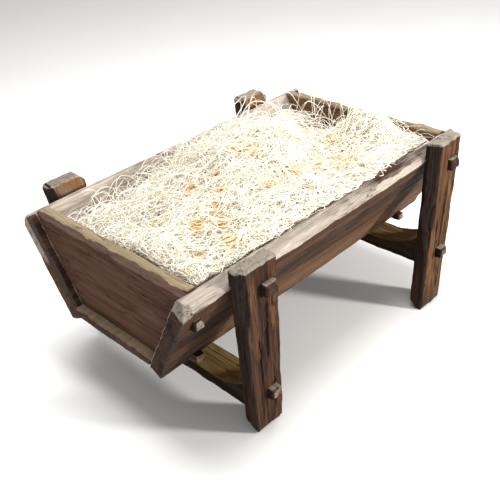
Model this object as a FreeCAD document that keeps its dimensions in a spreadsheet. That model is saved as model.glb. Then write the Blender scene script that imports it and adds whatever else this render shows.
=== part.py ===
import FreeCAD, Part

import math
import os

import Sketcher

# A wooden trough manger: two sloping side boards, a bottom board and two end boards make the trough,
# four plank legs carry it, two stretchers tie the legs in pairs, and square pegs lock the joints.
# X runs along the trough, Y across it, Z up. The origin is on the ground under the middle.

DIMENSIONS = {
    # trough
    "TroughLength": 700,
    "BoardWidth": 202,
    "BoardThickness": 30,
    "SideSlope": 29,
    "FloorHeight": 158,
    "FloorHalfWidth": 94,
    "FloorThickness": 20,
    "EndRecess": 16,
    "EndThickness": 28,
    # legs
    "LegHeight": 351,
    "LegSpread": 242,
    "LegThickness": 28,
    "LegWidthTop": 76,
    "LegWidthFoot": 66,
    # where each leg stands: middle of its top, middle of its foot, and how far the foot is drawn in
    "FrontLeftTop": -232,
    "FrontLeftFoot": -209,
    "FrontLeftInset": 26,
    "FrontRightTop": 262,
    "FrontRightFoot": 240,
    "FrontRightInset": 3,
    "BackLeftTop": -250,
    "BackLeftFoot": -213,
    "BackLeftInset": 14,
    "BackRightTop": 233,
    "BackRightFoot": 215,
    "BackRightInset": 14,
    # stretchers
    "StretcherWidth": 60,
    "StretcherEndDepth": 62,
    "StretcherMidDepth": 28,
    "StretcherMidHalf": 122,
    "LeftStretcherPlace": -211,
    "LeftStretcherHeight": 47,
    "RightStretcherPlace": 251,
    "RightStretcherHeight": 96,
    # battens under the bottom board
    "BattenSide": 16,
    "BattenHalfLength": 138,
    "BattenPlace": 277,
    # pegs
    "PegChamfer": 3,
    "UpperPegWidth": 26,
    "UpperPegDepth": 22,
    "UpperPegHeight": 303,
    "UpperPegShift": 13,
    "UpperPegProud": 9,
    "UpperPegInnerEnd": 190,
    "LowerPegWidth": 22,
    "LowerPegDepth": 20,
    "LowerPegShift": 7,
    "LowerPegProud": 12,
    "LowerPegGrip": 22,
    "LeftLowerPegHeight": 80,
    "RightLowerPegHeight": 121,
    "EndPegWidth": 20,
    "EndPegHeight": 280,
    "EndPegProud": 9,
    "EndPegGrip": 30,
    # nails
    "NailRadius": 1.6,
    "NailHeadRadius": 3.6,
    "NailHeadThickness": 1.5,
    "EndNailLength": 50,
    "EndNailSpacing": 110,
    "BattenNailLength": 31,
    "BattenNailSpacing": 120,
    # loose fill
    "FillGap": 1.5,
    "FillShoulder": 300,
    "FillCrown": 415,
}

doc = FreeCAD.newDocument("Manger")
sheet = doc.addObject("Spreadsheet::Sheet", "Size")
for row, (alias, size) in enumerate(DIMENSIONS.items(), start=1):
    sheet.set(f"A{row}", alias)
    sheet.set(f"B{row}", str(size))
    sheet.setAlias(f"B{row}", alias)
doc.recompute()

# Formulas that several pieces share. They are read in millimetres and degrees.
RIM_RISE = "Size.BoardWidth * cos(Size.SideSlope)"
END_MIDDLE = "(Size.TroughLength / 2 - Size.EndRecess - Size.EndThickness / 2)"


def wall_inside(height):
    """Half the width between the side boards at a height above the ground."""
    return f"(Size.FloorHalfWidth + ({height} - Size.FloorHeight) * tan(Size.SideSlope))"


def wall_outside(height):
    """Half the width over the side boards at a height above the ground."""
    return f"({wall_inside(height)} + Size.BoardThickness / cos(Size.SideSlope))"


def leg_outside(corner, height):
    """Distance from the middle to a leg's outer face at a height above the ground."""
    return f"(Size.LegSpread - Size.{corner}Inset * (1 - {height} / Size.LegHeight))"


def number(formula):
    """Present value of a formula."""
    return float(sheet.evalExpression(formula))


def place(item, x="0", y="0", z="0", tilt="0"):
    """Put an object at a point, turned about the X direction, with every number bound to the sheet."""
    turn = FreeCAD.Rotation(FreeCAD.Vector(1, 0, 0), number(tilt))
    item.Placement = FreeCAD.Placement(FreeCAD.Vector(number(x), number(y), number(z)), turn)
    for axis, formula in (("x", x), ("y", y), ("z", z)):
        item.setExpression(f"Placement.Base.{axis}", formula)
    item.setExpression("Placement.Rotation.Angle", f"({tilt}) * 1 deg")
    return item


def outline(body, role, corners, arcs=None):
    """Closed sketch on an origin plane of the body, each corner a pair of formulas.

    arcs gives, for the edge that starts at a corner, the formulas of the arc's centre."""
    arcs = arcs or {}
    sketch = body.newObject("Sketcher::SketchObject", body.Name + "Sketch")
    plane = next(item for item in body.Origin.OriginFeatures if item.Role == role)
    sketch.AttachmentSupport = [(plane, "")]
    sketch.MapMode = "FlatFace"
    points = [FreeCAD.Vector(number(u), number(v), 0) for u, v in corners]
    count = len(points)
    ends = {}
    for index, start in enumerate(points):
        finish = points[(index + 1) % count]
        if index in arcs:
            centre = FreeCAD.Vector(number(arcs[index][0]), number(arcs[index][1]), 0)
            ends[index] = add_arc(sketch, centre, start, finish)
        else:
            sketch.addGeometry(Part.LineSegment(start, finish))
            ends[index] = (1, 2)
    for index in range(count):
        following = (index + 1) % count
        joined = Sketcher.Constraint("Coincident", index, ends[index][1], following, ends[following][0])
        sketch.addConstraint(joined)
    for index, (u, v) in enumerate(corners):
        pin(sketch, "DistanceX", index, ends[index][0], u)
        pin(sketch, "DistanceY", index, ends[index][0], v)
    for index, (_, v) in arcs.items():
        pin(sketch, "DistanceY", index, 3, v)
    return sketch


def add_arc(sketch, centre, start, finish):
    """Add the arc about centre from start to finish, and say which of its ends is which."""
    circle = Part.Circle(centre, FreeCAD.Vector(0, 0, 1), (start - centre).Length)
    first = math.atan2(start.y - centre.y, start.x - centre.x)
    last = math.atan2(finish.y - centre.y, finish.x - centre.x)
    forward = (last - first) % (2 * math.pi) < math.pi
    if forward:
        sketch.addGeometry(Part.ArcOfCircle(circle, first, last))
        return (1, 2)
    sketch.addGeometry(Part.ArcOfCircle(circle, last, first))
    return (2, 1)


def pin(sketch, kind, edge, end, formula):
    """Hold one coordinate of a sketch point at a formula."""
    index = sketch.addConstraint(Sketcher.Constraint(kind, -1, 1, edge, end, number(formula)))
    sketch.setExpression(f"Constraints[{index}]", formula)


def prism(label, role, corners, thickness, arcs=None, both_ways=True):
    """A piece sawn to one outline: the outline padded on both sides of its plane, or up from it."""
    body = doc.addObject("PartDesign::Body", label)
    sketch = outline(body, role, corners, arcs)
    pad = body.newObject("PartDesign::Pad", label + "Pad")
    pad.Profile = sketch
    pad.SideType = "Symmetric" if both_ways else "One side"
    pad.Length = number(thickness)
    pad.setExpression("Length", thickness)
    doc.recompute()
    return body


def common(label, first, second):
    """The wood that two sawing outlines leave."""
    both = doc.addObject("Part::Common", label)
    both.Base = first
    both.Tool = second
    return both


def cut(label, blank, tools):
    """A piece with the seats and holes of its neighbours cut out of it."""
    group = doc.addObject("Part::Compound", label + "_cutters")
    group.Links = tools
    piece = doc.addObject("Part::Cut", label)
    piece.Base = blank
    piece.Tool = group
    return piece


def box(label, length, width, height, x, y, z):
    """Plain squared bar with one corner at x, y, z."""
    bar = doc.addObject("Part::Box", label)
    for side, formula in (("Length", length), ("Width", width), ("Height", height)):
        bar.setExpression(side, formula)
    return place(bar, x, y, z)


def peg(label, width, depth, length, x, y, z, side):
    """Square peg that lies across the trough, its chamfered end outwards. side is -1 in front."""
    u, v = f"{width} / 2", f"{depth} / 2"
    corners = [(f"-{u}", f"-{v}"), (u, f"-{v}"), (u, v), (f"-{u}", v)]
    body = prism(label, "XY_Plane", corners, length, both_ways=False)
    pad = body.Tip
    shape = pad.Shape
    faces = range(len(shape.Faces))
    outer = max(faces, key=lambda index: shape.Faces[index].CenterOfMass.z)
    chamfer = body.newObject("PartDesign::Chamfer", label + "Chamfer")
    chamfer.Base = (pad, [f"Face{outer + 1}"])
    chamfer.setExpression("Size", "Size.PegChamfer")
    return place(body, x, f"{side} * ({y})", z, f"{-side} * 90")


def nails(label, points, z, length):
    """Nails driven upwards from height z, their heads flush with the wood."""
    group = []
    for index, (x, y) in enumerate(points):
        head = doc.addObject("Part::Cylinder", f"{label}_head_{index}")
        head.setExpression("Radius", "Size.NailHeadRadius")
        head.setExpression("Height", "Size.NailHeadThickness")
        place(head, x, y, z)
        shank = doc.addObject("Part::Cylinder", f"{label}_shank_{index}")
        shank.setExpression("Radius", "Size.NailRadius")
        shank.setExpression("Height", length)
        place(shank, x, y, z)
        nail = doc.addObject("Part::Fuse", f"{label}_{index}")
        nail.Base = head
        nail.Tool = shank
        group.append(nail)
    driven = doc.addObject("Part::Compound", label)
    driven.Links = group
    return driven


# Which way each end and each long side lies. A front piece lies towards -Y, a left piece towards -X.
ENDS = {"left": -1, "right": 1}
SIDES = {"front": -1, "back": 1}
finished = {}


def finish(label, piece):
    """Name a finished sub-part."""
    piece.Label = label
    finished[label] = piece
    return piece


# Pegs and nails come first, because the boards and legs are cut around them.
upper_pegs = {}
lower_pegs = {}
end_pegs = {}
for side, across in SIDES.items():
    for end, along in ENDS.items():
        corner = side.capitalize() + end.capitalize()
        where = f"{side}_{end}"

        height = "Size.UpperPegHeight"
        lean = f"(Size.{corner}Top - Size.{corner}Foot) * {height} / Size.LegHeight"
        upper_pegs[where] = finish(f"upper_peg_{where}", peg(
            f"UpperPeg{corner}", "Size.UpperPegWidth", "Size.UpperPegDepth",
            "Size.LegSpread + Size.UpperPegProud - Size.UpperPegInnerEnd",
            f"Size.{corner}Foot + {lean} + Size.UpperPegShift", "Size.UpperPegInnerEnd", height, across))

        height = f"Size.{end.capitalize()}LowerPegHeight"
        lean = f"(Size.{corner}Top - Size.{corner}Foot) * {height} / Size.LegHeight"
        inner_end = f"{leg_outside(corner, height)} - Size.LegThickness - Size.LowerPegGrip"
        lower_pegs[where] = finish(f"lower_peg_{where}", peg(
            f"LowerPeg{corner}", "Size.LowerPegWidth", "Size.LowerPegDepth",
            "Size.LegThickness + Size.LowerPegGrip + Size.LowerPegProud",
            f"(Size.{corner}Foot + {lean} + Size.{end.capitalize()}StretcherPlace) / 2 + Size.LowerPegShift",
            inner_end, height, across))

        height = "Size.EndPegHeight"
        inner_end = f"{wall_inside(height)} - Size.EndPegGrip"
        end_pegs[where] = finish(f"end_peg_{where}", peg(
            f"EndPeg{corner}", "Size.EndPegWidth", "Size.EndPegWidth",
            f"{wall_outside(height)} + Size.EndPegProud - ({inner_end})",
            f"{along} * {END_MIDDLE}", inner_end, height, across))

end_nails = {}
batten_nails = {}
for end, along in ENDS.items():
    pair = [(f"{along} * {END_MIDDLE}", f"{across} * Size.EndNailSpacing / 2") for across in (-1, 1)]
    end_nails[end] = finish(f"end_board_nails_{end}", nails(
        f"EndNails{end.capitalize()}", pair, "Size.FloorHeight", "Size.EndNailLength"))
    pair = [(f"{along} * Size.BattenPlace", f"{across} * Size.BattenNailSpacing / 2") for across in (-1, 1)]
    batten_nails[end] = finish(f"batten_nails_{end}", nails(
        f"BattenNails{end.capitalize()}", pair, "Size.FloorHeight - Size.BattenSide",
        "Size.BattenNailLength"))

# Battens: squared bars under the bottom board, let into the lower edges of the side boards.
batten_blanks = {}
for end, along in ENDS.items():
    blank = box(
        f"BattenBlank{end.capitalize()}", "Size.BattenSide", "2 * Size.BattenHalfLength", "Size.BattenSide",
        f"{along} * Size.BattenPlace - Size.BattenSide / 2", "-Size.BattenHalfLength",
        "Size.FloorHeight - Size.BattenSide")
    batten_blanks[end] = blank
    name = f"bottom_batten_{end}"
    finish(name, cut(f"Batten{end.capitalize()}", blank, [batten_nails[end]]))

# Side boards: square-edged planks leaning outwards, inner lower edge at the bottom board's underside.
board_blanks = {}
for side, across in SIDES.items():
    t = f"{across} * Size.BoardThickness"
    section = [("0", "0"), (t, "0"), (t, "Size.BoardWidth"), ("0", "Size.BoardWidth")]
    blank = prism(f"SideBlank{side.capitalize()}", "YZ_Plane", section, "Size.TroughLength")
    place(blank, y=f"{across} * Size.FloorHalfWidth", z="Size.FloorHeight",
          tilt=f"{-across} * Size.SideSlope")
    board_blanks[side] = blank
    seats = list(batten_blanks.values())
    seats += [pegs[f"{side}_{end}"] for pegs in (upper_pegs, end_pegs) for end in ENDS]
    finish(f"side_board_{side}", cut(f"SideBoard{side.capitalize()}", blank, seats))

# Bottom board: wedged between the side boards, so its edges carry their slope.
low = wall_inside("Size.FloorHeight")
high = wall_inside("(Size.FloorHeight + Size.FloorThickness)")
section = [(f"-{low}", "0"), (low, "0"), (high, "Size.FloorThickness"), (f"-{high}", "Size.FloorThickness")]
bottom_blank = place(prism("BottomBlank", "YZ_Plane", section, "Size.TroughLength"), z="Size.FloorHeight")
finish("bottom_board", cut(
    "BottomBoard", bottom_blank, list(end_nails.values()) + list(batten_nails.values())))

# End boards: trapezoids that stand on the bottom board between the side boards.
rim = f"(Size.FloorHeight + {RIM_RISE})"
foot = "(Size.FloorHeight + Size.FloorThickness)"
for end, along in ENDS.items():
    section = [(f"-{wall_inside(foot)}", "0"), (wall_inside(foot), "0"),
               (wall_inside(rim), f"{rim} - {foot}"), (f"-{wall_inside(rim)}", f"{rim} - {foot}")]
    blank = prism(f"EndBlank{end.capitalize()}", "YZ_Plane", section, "Size.EndThickness")
    place(blank, x=f"{along} * {END_MIDDLE}", z=foot)
    seats = [end_nails[end]] + [end_pegs[f"{side}_{end}"] for side in SIDES]
    finish(f"end_board_{end}", cut(f"EndBoard{end.capitalize()}", blank, seats))

# Legs: planks sawn to a tapering front outline and a leaning side outline, notched for the side board.
for side, across in SIDES.items():
    for end in ENDS:
        corner = side.capitalize() + end.capitalize()
        inward = -across
        lean = f"(Size.{corner}Top - Size.{corner}Foot)"
        inset = f"Size.{corner}Inset"
        front_outline = [("-Size.LegWidthFoot / 2", "0"), ("Size.LegWidthFoot / 2", "0"),
                         (f"{lean} + Size.LegWidthTop / 2", "Size.LegHeight"),
                         (f"{lean} - Size.LegWidthTop / 2", "Size.LegHeight")]
        side_outline = [("0", "0"), (f"{inward} * Size.LegThickness", "0"),
                        (f"{inward} * (Size.LegThickness - {inset})", "Size.LegHeight"),
                        (f"{-inward} * {inset}", "Size.LegHeight")]
        front_cut = prism(f"LegFront{corner}", "XZ_Plane", front_outline, "4 * Size.LegThickness")
        side_cut = prism(f"LegSide{corner}", "YZ_Plane", side_outline, "3 * Size.LegWidthTop")
        for blank in (front_cut, side_cut):
            place(blank, f"Size.{corner}Foot", f"{across} * {leg_outside(corner, '0')}")
        sawn = common(f"LegSawn{corner}", front_cut, side_cut)
        where = f"{side}_{end}"
        seats = [board_blanks[side], upper_pegs[where], lower_pegs[where]]
        finish(f"leg_{where}", cut(f"Leg{corner}", sawn, seats))

# Stretchers: flat underneath, full depth at the legs and scooped to a shallow middle on top.
def stretcher_half(corner, across, base):
    """Foot, top and middle corner of one half of a stretcher's profile, and the centre of its scoop."""
    foot_reach = f"({leg_outside(corner, base)} - Size.LegThickness)"
    top_reach = f"({leg_outside(corner, f'({base} + Size.StretcherEndDepth)')} - Size.LegThickness)"
    run = f"({top_reach} - Size.StretcherMidHalf)"
    drop = "(Size.StretcherEndDepth - Size.StretcherMidDepth)"
    corners = [(f"{across} * {foot_reach}", "0"),
               (f"{across} * {top_reach}", "Size.StretcherEndDepth"),
               (f"{across} * Size.StretcherMidHalf", "Size.StretcherMidDepth")]
    centre = (f"{across} * Size.StretcherMidHalf",
              f"Size.StretcherMidDepth + ({run}^2 + {drop}^2) / (2 * {drop})")
    return corners, centre


for end in ENDS:
    base = f"Size.{end.capitalize()}StretcherHeight"
    front_corners, front_centre = stretcher_half(f"Front{end.capitalize()}", -1, base)
    back_corners, back_centre = stretcher_half(f"Back{end.capitalize()}", 1, base)
    blank = prism(f"StretcherBlank{end.capitalize()}", "YZ_Plane", front_corners[::-1] + back_corners,
                  "Size.StretcherWidth", {0: front_centre, 4: back_centre})
    place(blank, x=f"Size.{end.capitalize()}StretcherPlace", z=base)
    seats = [lower_pegs[f"{side}_{end}"] for side in SIDES]
    finish(f"stretcher_{end}", cut(f"Stretcher{end.capitalize()}", blank, seats))

# Loose fill: a heap that stands just clear of the boards and rises in a crown above the rim.
bed = "(Size.FloorHeight + Size.FloorThickness + Size.FillGap)"
half_length = "(Size.TroughLength / 2 - Size.EndRecess - Size.EndThickness - Size.FillGap)"
rise = "(Size.FillCrown - Size.FillShoulder)"


def heap(label, role, bed_half, shoulder_half, thickness):
    """Heap outline with straight flanks and one arc over the top."""
    corners = [(f"-{bed_half}", bed), (bed_half, bed),
               (shoulder_half, "Size.FillShoulder"), (f"-{shoulder_half}", "Size.FillShoulder")]
    centre = f"Size.FillCrown - ({shoulder_half}^2 + {rise}^2) / (2 * {rise})"
    return prism(label, role, corners, thickness, {2: ("0", centre)})


across_heap = heap("FillAcross", "YZ_Plane", f"({wall_inside(bed)} - 2 * Size.FillGap)",
                   f"({wall_inside('Size.FillShoulder')} - 2 * Size.FillGap)", "Size.TroughLength")
along_heap = heap("FillAlong", "XZ_Plane", half_length, half_length, "Size.TroughLength")
finish("wood_wool_fill", common("Fill", across_heap, along_heap))

doc.recompute()

broken = [item.Name for item in doc.Objects if {"Invalid", "Error"} & set(item.State)]
if broken:
    raise RuntimeError(f"failed features: {broken}")
for label, piece in finished.items():
    shape = piece.Shape
    if shape.isNull() or not shape.isValid() or not shape.Solids:
        raise RuntimeError(f"{label} has no valid solid")

os.makedirs("parts", exist_ok=True)
for label, piece in finished.items():
    piece.Shape.exportStep(f"parts/{label}.step")
    extent = piece.Shape.BoundBox
    print(f"{label}: {len(piece.Shape.Solids)} solid(s), {piece.Shape.Volume / 1000:.1f} cm3, "
          f"x {extent.XMin:.1f} to {extent.XMax:.1f}, y {extent.YMin:.1f} to {extent.YMax:.1f}, "
          f"z {extent.ZMin:.1f} to {extent.ZMax:.1f}")
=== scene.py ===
import itertools
import math

import bmesh
import bpy
import numpy as np
from mathutils import Matrix, Vector


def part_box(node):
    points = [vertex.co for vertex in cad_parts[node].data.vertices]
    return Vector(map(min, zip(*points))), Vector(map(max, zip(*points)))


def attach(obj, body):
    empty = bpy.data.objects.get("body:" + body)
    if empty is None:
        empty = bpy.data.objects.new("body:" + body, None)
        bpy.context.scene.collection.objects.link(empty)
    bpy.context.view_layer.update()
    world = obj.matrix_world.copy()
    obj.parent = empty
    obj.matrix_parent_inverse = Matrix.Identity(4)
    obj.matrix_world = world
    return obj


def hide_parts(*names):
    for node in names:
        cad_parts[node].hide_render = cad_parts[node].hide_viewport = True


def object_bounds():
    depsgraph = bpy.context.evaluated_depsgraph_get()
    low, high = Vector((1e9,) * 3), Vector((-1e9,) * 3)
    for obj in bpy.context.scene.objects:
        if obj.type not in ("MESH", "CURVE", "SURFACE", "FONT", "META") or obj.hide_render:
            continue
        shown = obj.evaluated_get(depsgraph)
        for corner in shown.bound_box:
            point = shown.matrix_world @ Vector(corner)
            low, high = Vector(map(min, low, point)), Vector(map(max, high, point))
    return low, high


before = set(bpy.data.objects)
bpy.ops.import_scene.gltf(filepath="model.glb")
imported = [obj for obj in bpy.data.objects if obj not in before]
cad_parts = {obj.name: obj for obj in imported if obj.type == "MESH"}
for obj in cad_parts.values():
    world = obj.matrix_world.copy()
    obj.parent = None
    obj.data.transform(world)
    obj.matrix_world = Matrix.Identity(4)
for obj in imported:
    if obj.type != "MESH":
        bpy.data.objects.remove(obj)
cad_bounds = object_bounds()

# A wooden trough manger filled with wood wool. Every wooden piece is a copy of its CAD node's shape with
# hewn edges and weathered faces, and the fill is thousands of curled ribbons over a plain packed core.

scene = bpy.context.scene
# The sides of the trough along Y, its ends along X, and how far its side boards lean out.
SIDES = {"front": -1, "back": 1}
ENDS = {"left": -1, "right": 1}
SIDE_SLOPE = math.radians(29)
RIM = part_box("side_board_front")[1].z
LEFT, RIGHT = Vector((-1, 0, 0)), Vector((1, 0, 0))
FRONT, BACK = Vector((0, -1, 0)), Vector((0, 1, 0))
UP, DOWN = Vector((0, 0, 1)), Vector((0, 0, -1))


# ---------------------------------------------------------------- fields and mesh data

def noise(points, size, seed):
    """Smooth random field over points, from -1 to 1, with features of the given size."""
    cell = points / np.asarray(size, float)
    low = np.floor(cell).astype(np.int64)
    t = cell - low
    t = t * t * (3 - 2 * t)
    total = np.zeros(len(points))
    # Each corner of a cell has a value of 16 bits, hashed from its place and the seed.
    for corner in itertools.product((0, 1), repeat=3):
        at = low + corner
        mixed = at[:, 0] * 73856093 ^ at[:, 1] * 19349663 ^ at[:, 2] * 83492791 ^ (seed + 7) * 40503
        mixed = (mixed ^ (mixed >> 13)) * 1274126177 & 0xFFFFFFFF
        weight = np.prod(np.where(corner, t, 1 - t), axis=1)
        total += weight * ((mixed ^ (mixed >> 16)) & 0xFFFF)
    return total / 32767.5 - 1


def fade(value, start, end):
    """0 before start, 1 after end, smooth between them. End may be below start."""
    t = np.clip((value - start) / (end - start), 0, 1)
    return t * t * (3 - 2 * t)


def knife_cuts(place, spacing, seed):
    """Depth from about 0 to 1 of a row of hollow cuts that meet in ridges, at places along an edge."""
    rng = np.random.default_rng(seed)
    count = int(np.ptp(place) / spacing) + 3
    centres = place.min() + spacing * (np.arange(count) - 1 + rng.uniform(0.15, 0.85, count))
    bottoms = rng.uniform(0.45, 1.0, count)
    hollows = bottoms - ((place[:, None] - centres) / (0.95 * spacing)) ** 2
    return np.clip(hollows.max(axis=1), 0, 1)


def read(items, name, width):
    """A property of every item, as rows of the given width."""
    values = np.empty(len(items) * width, np.float32)
    items.foreach_get(name, values)
    return values.reshape(-1, width).astype(float)


def write_attribute(mesh, name, kind, values):
    """Give each point of a mesh a number or a vector under a name that materials can read."""
    attribute = mesh.attributes.new(name, kind, "POINT")
    field = "vector" if kind == "FLOAT_VECTOR" else "value"
    attribute.data.foreach_set(field, np.ascontiguousarray(values, np.float32).ravel())


def voxel_copy(mesh, cell):
    """The same closed shape with points as close together as cell, for carving."""
    holder = bpy.data.objects.new("holder", mesh)
    scene.collection.objects.link(holder)
    dense = holder.modifiers.new("dense", "REMESH")
    dense.mode = "VOXEL"
    dense.voxel_size = cell
    graph = bpy.context.evaluated_depsgraph_get()
    result = bpy.data.meshes.new_from_object(holder.evaluated_get(graph), depsgraph=graph)
    bpy.data.objects.remove(holder)
    return result


# ---------------------------------------------------------------- materials

def srgb(red, green, blue):
    """Linear colour of an 8-bit display colour."""
    return tuple((c / 255 / 12.92) if c < 10.3 else ((c / 255 + 0.055) / 1.055) ** 2.4
                 for c in (red, green, blue)) + (1.0,)


class Nodes:
    """A new material, whose nodes are added one after another and joined as they come."""

    def __init__(self, name):
        self.material = bpy.data.materials.new(name)
        self.material.use_nodes = True
        self.tree = self.material.node_tree
        self.shader = self.tree.nodes["Principled BSDF"]

    def add(self, kind, inputs, output=0, **settings):
        """Add a node, join or set its inputs, and return one of its outputs."""
        node = self.tree.nodes.new("ShaderNode" + kind)
        for key, value in settings.items():
            setattr(node, key, value)
        for key, value in inputs.items():
            if isinstance(value, bpy.types.NodeSocket):
                self.tree.links.new(value, node.inputs[key])
            else:
                node.inputs[key].default_value = value
        return node.outputs[output]

    def math(self, operation, *values):
        return self.add("Math", dict(enumerate(values)), operation=operation)

    def mix(self, factor, first, second, blend="MIX"):
        return self.add("Mix", {0: factor, 6: first, 7: second}, 2, data_type="RGBA", blend_type=blend)

    def spread(self, value, low, high, new_low=0.0, new_high=1.0):
        """Stretch the range from low to high over a new one. Values past the ends stay at the ends."""
        return self.add("MapRange", {"Value": value, "From Min": low, "From Max": high,
                                     "To Min": new_low, "To Max": new_high})

    def pattern(self, vector, scale, detail=4.0, roughness=0.55, distortion=0.0):
        """Noise whose cells are as many per metre as scale says, in each direction."""
        at = self.add("VectorMath", {0: vector, 1: scale}, operation="MULTIPLY")
        return self.add("TexNoise", {"Vector": at, "Scale": 1.0, "Detail": detail,
                                     "Roughness": roughness, "Distortion": distortion})

    def finish(self, colour, roughness, height, bump):
        """Join the results to the shader. The relief is as deep as bump where height goes from 0 to 1."""
        self.tree.links.new(colour, self.shader.inputs["Base Color"])
        self.tree.links.new(roughness, self.shader.inputs["Roughness"])
        normal = self.add("Bump", {"Height": height, "Distance": bump, "Strength": 1.0})
        self.tree.links.new(normal, self.shader.inputs["Normal"])
        return self.material


def wood(name, dark, mid, light, cut, worn_dark, worn_light):
    """Old hewn wood. Attributes of the mesh say its place in the log (grain), where a knife has taken the
    edges off (cut), where it is worn pale (wear), how pale or dark it is from stains and from painted light
    and shade (tone), and where the fibres end (butt)."""
    n = Nodes(name)
    grain = n.add("Attribute", {}, "Vector", attribute_name="grain")
    wear, hewn, tone, butt = (n.add("Attribute", {}, "Fac", attribute_name=kind)
                              for kind in ("wear", "cut", "tone", "butt"))

    # Patterns along the grain, the dark lines between the year rings, and the drying cracks.
    broad = n.pattern(grain, (2.2, 22, 22), 3, 0.55, 0.4)
    streak = n.pattern(grain, (5, 110, 110), 4, 0.6, 0.3)
    fibre = n.pattern(grain, (24, 700, 700), 3, 0.6)
    patch = n.pattern(grain, (8, 26, 26), 3, 0.6)
    swirl = n.pattern(grain, (2.6, 30, 30), 2, 0.5, 0.5)
    line = n.math("ABSOLUTE", n.math("SUBTRACT", n.math("FRACT", n.math("MULTIPLY", swirl, 9.0)), 0.5))
    line = n.math("MULTIPLY", n.spread(line, 0.0, 0.16, 1.0, 0.0), n.spread(patch, 0.35, 0.6))
    line = n.math("MULTIPLY", line, n.spread(butt, 0.0, 1.0, 1.0, 0.15))
    split = n.pattern(grain, (7, 120, 120), 2, 0.5, 0.4)
    crack = n.spread(n.math("ABSOLUTE", n.math("SUBTRACT", split, 0.5)), 0.0, 0.022, 1.0, 0.0)
    crack = n.math("MULTIPLY", crack, n.spread(patch, 0.48, 0.58))

    # The sawn face.
    # Tone above 0 makes the wood paler: pale wood, and painted light on faces set to look lit.
    pale = n.spread(tone, 0.0, 1.0, 0.0, 0.75)
    colour = n.mix(n.math("ADD", n.spread(broad, 0.34, 0.58), pale), dark, mid)
    colour = n.mix(n.math("ADD", n.spread(streak, 0.44, 0.80, 0.0, 0.35), pale), colour, light)
    colour = n.mix(n.spread(patch, 0.5, 0.8, 0.0, 0.5), colour, light)
    shade = n.spread(fibre, 0.25, 0.75, 0.82, 1.18)
    shade = n.math("MULTIPLY", shade, n.spread(streak, 0.25, 0.5, 0.78, 1.0))
    shade = n.math("MULTIPLY", shade, n.math("SUBTRACT", 1.0, n.math("MULTIPLY", line, 0.4)))
    shade = n.add("CombineColor", {0: shade, 1: shade, 2: shade})
    colour = n.mix(1.0, colour, shade, "MULTIPLY")

    # Knife-cut edges, then worn places, cracks, and dirt and painted shade over them.
    facet = n.mix(n.spread(patch, 0.35, 0.7, 0.35, 0.0), cut, dark)
    facet = n.mix(n.spread(fibre, 0.3, 0.7, 0.0, 0.35), facet, worn_dark)
    colour = n.mix(n.spread(n.math("ADD", hewn, n.spread(patch, 0.3, 0.7, -0.2, 0.2)), 0.3, 0.7),
                   colour, facet)
    old = n.mix(n.spread(fibre, 0.3, 0.7, 0.45, 0.95), worn_dark, worn_light)
    old = n.mix(n.spread(streak, 0.35, 0.55, 0.45, 0.0), old, worn_dark)
    bare = n.math("ADD", wear, n.spread(patch, 0.3, 0.7, -0.2, 0.16))
    bare = n.math("ADD", bare, n.spread(fibre, 0.3, 0.7, -0.06, 0.06))
    colour = n.mix(n.spread(bare, 0.38, 0.6), colour, old)
    colour = n.mix(n.math("MULTIPLY", crack, 0.85), colour, srgb(20, 12, 10))
    # Tone below 0 darkens the wood: dirt, and painted shade on faces set to look shaded.
    dirt_and_shade = n.math("ADD", n.math("MULTIPLY", tone, -1.0), n.spread(broad, 0.3, 0.7, 0.12, -0.12))
    dirt_and_shade_factor = n.spread(dirt_and_shade, 0.1, 1.0, 1.0, 0.18)
    colour = n.mix(1.0, colour, n.add("CombineColor", {0: dirt_and_shade_factor, 1: dirt_and_shade_factor, 2: dirt_and_shade_factor}), "MULTIPLY")

    # The relief: fibres and streaks, with the lines and the cracks sunk in.
    height = n.math("MULTIPLY_ADD", fibre, 0.4, n.math("MULTIPLY", streak, 0.8))
    height = n.math("MULTIPLY_ADD", line, -0.25, height)
    height = n.math("MULTIPLY_ADD", crack, -0.9, height)
    n.shader.inputs["Specular IOR Level"].default_value = 0.12
    return n.finish(colour, n.spread(streak, 0.3, 0.7, 0.9, 0.72), height, 0.0015)


# Each wood's dark, middle and light grain, its cut edges, and the dark and the light of its worn places.
WOODS = {
    "side_board_wood": wood("side_board", srgb(34, 21, 16), srgb(72, 49, 34), srgb(112, 84, 60),
                            srgb(70, 58, 56), srgb(112, 98, 88), srgb(186, 176, 164)),
    "end_board_wood": wood("end_board", srgb(60, 36, 30), srgb(84, 56, 46), srgb(118, 86, 60),
                           srgb(92, 70, 62), srgb(94, 79, 62), srgb(152, 136, 110)),
    "bottom_wood": wood("bottom", srgb(46, 29, 25), srgb(74, 52, 42), srgb(96, 74, 60),
                        srgb(48, 30, 27), srgb(86, 70, 58), srgb(142, 124, 100)),
    "leg_wood": wood("leg", srgb(34, 21, 16), srgb(58, 36, 24), srgb(138, 98, 58),
                     srgb(34, 20, 19), srgb(82, 72, 66), srgb(154, 144, 132)),
    "stretcher_wood": wood("stretcher", srgb(38, 25, 18), srgb(80, 58, 36), srgb(128, 100, 62),
                           srgb(36, 23, 18), srgb(104, 82, 50), srgb(168, 140, 92)),
    "peg_wood": wood("peg", srgb(32, 20, 16), srgb(60, 42, 30), srgb(88, 66, 48),
                     srgb(44, 30, 25), srgb(98, 86, 76), srgb(156, 146, 132)),
}


def steel():
    """Iron nails, half rusted."""
    n = Nodes("nail_steel")
    place = n.add("TexCoord", {}, "Object")
    rust = n.pattern(place, (900, 900, 900), 5, 0.65)
    stain = n.pattern(place, (260, 260, 260), 3)
    colour = n.mix(n.spread(rust, 0.42, 0.6), srgb(96, 92, 90), srgb(92, 52, 34))
    n.tree.links.new(n.spread(rust, 0.42, 0.6, 0.85, 0.15), n.shader.inputs["Metallic"])
    return n.finish(colour, n.spread(stain, 0.3, 0.7, 0.45, 0.85), rust, 0.0004)


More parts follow.
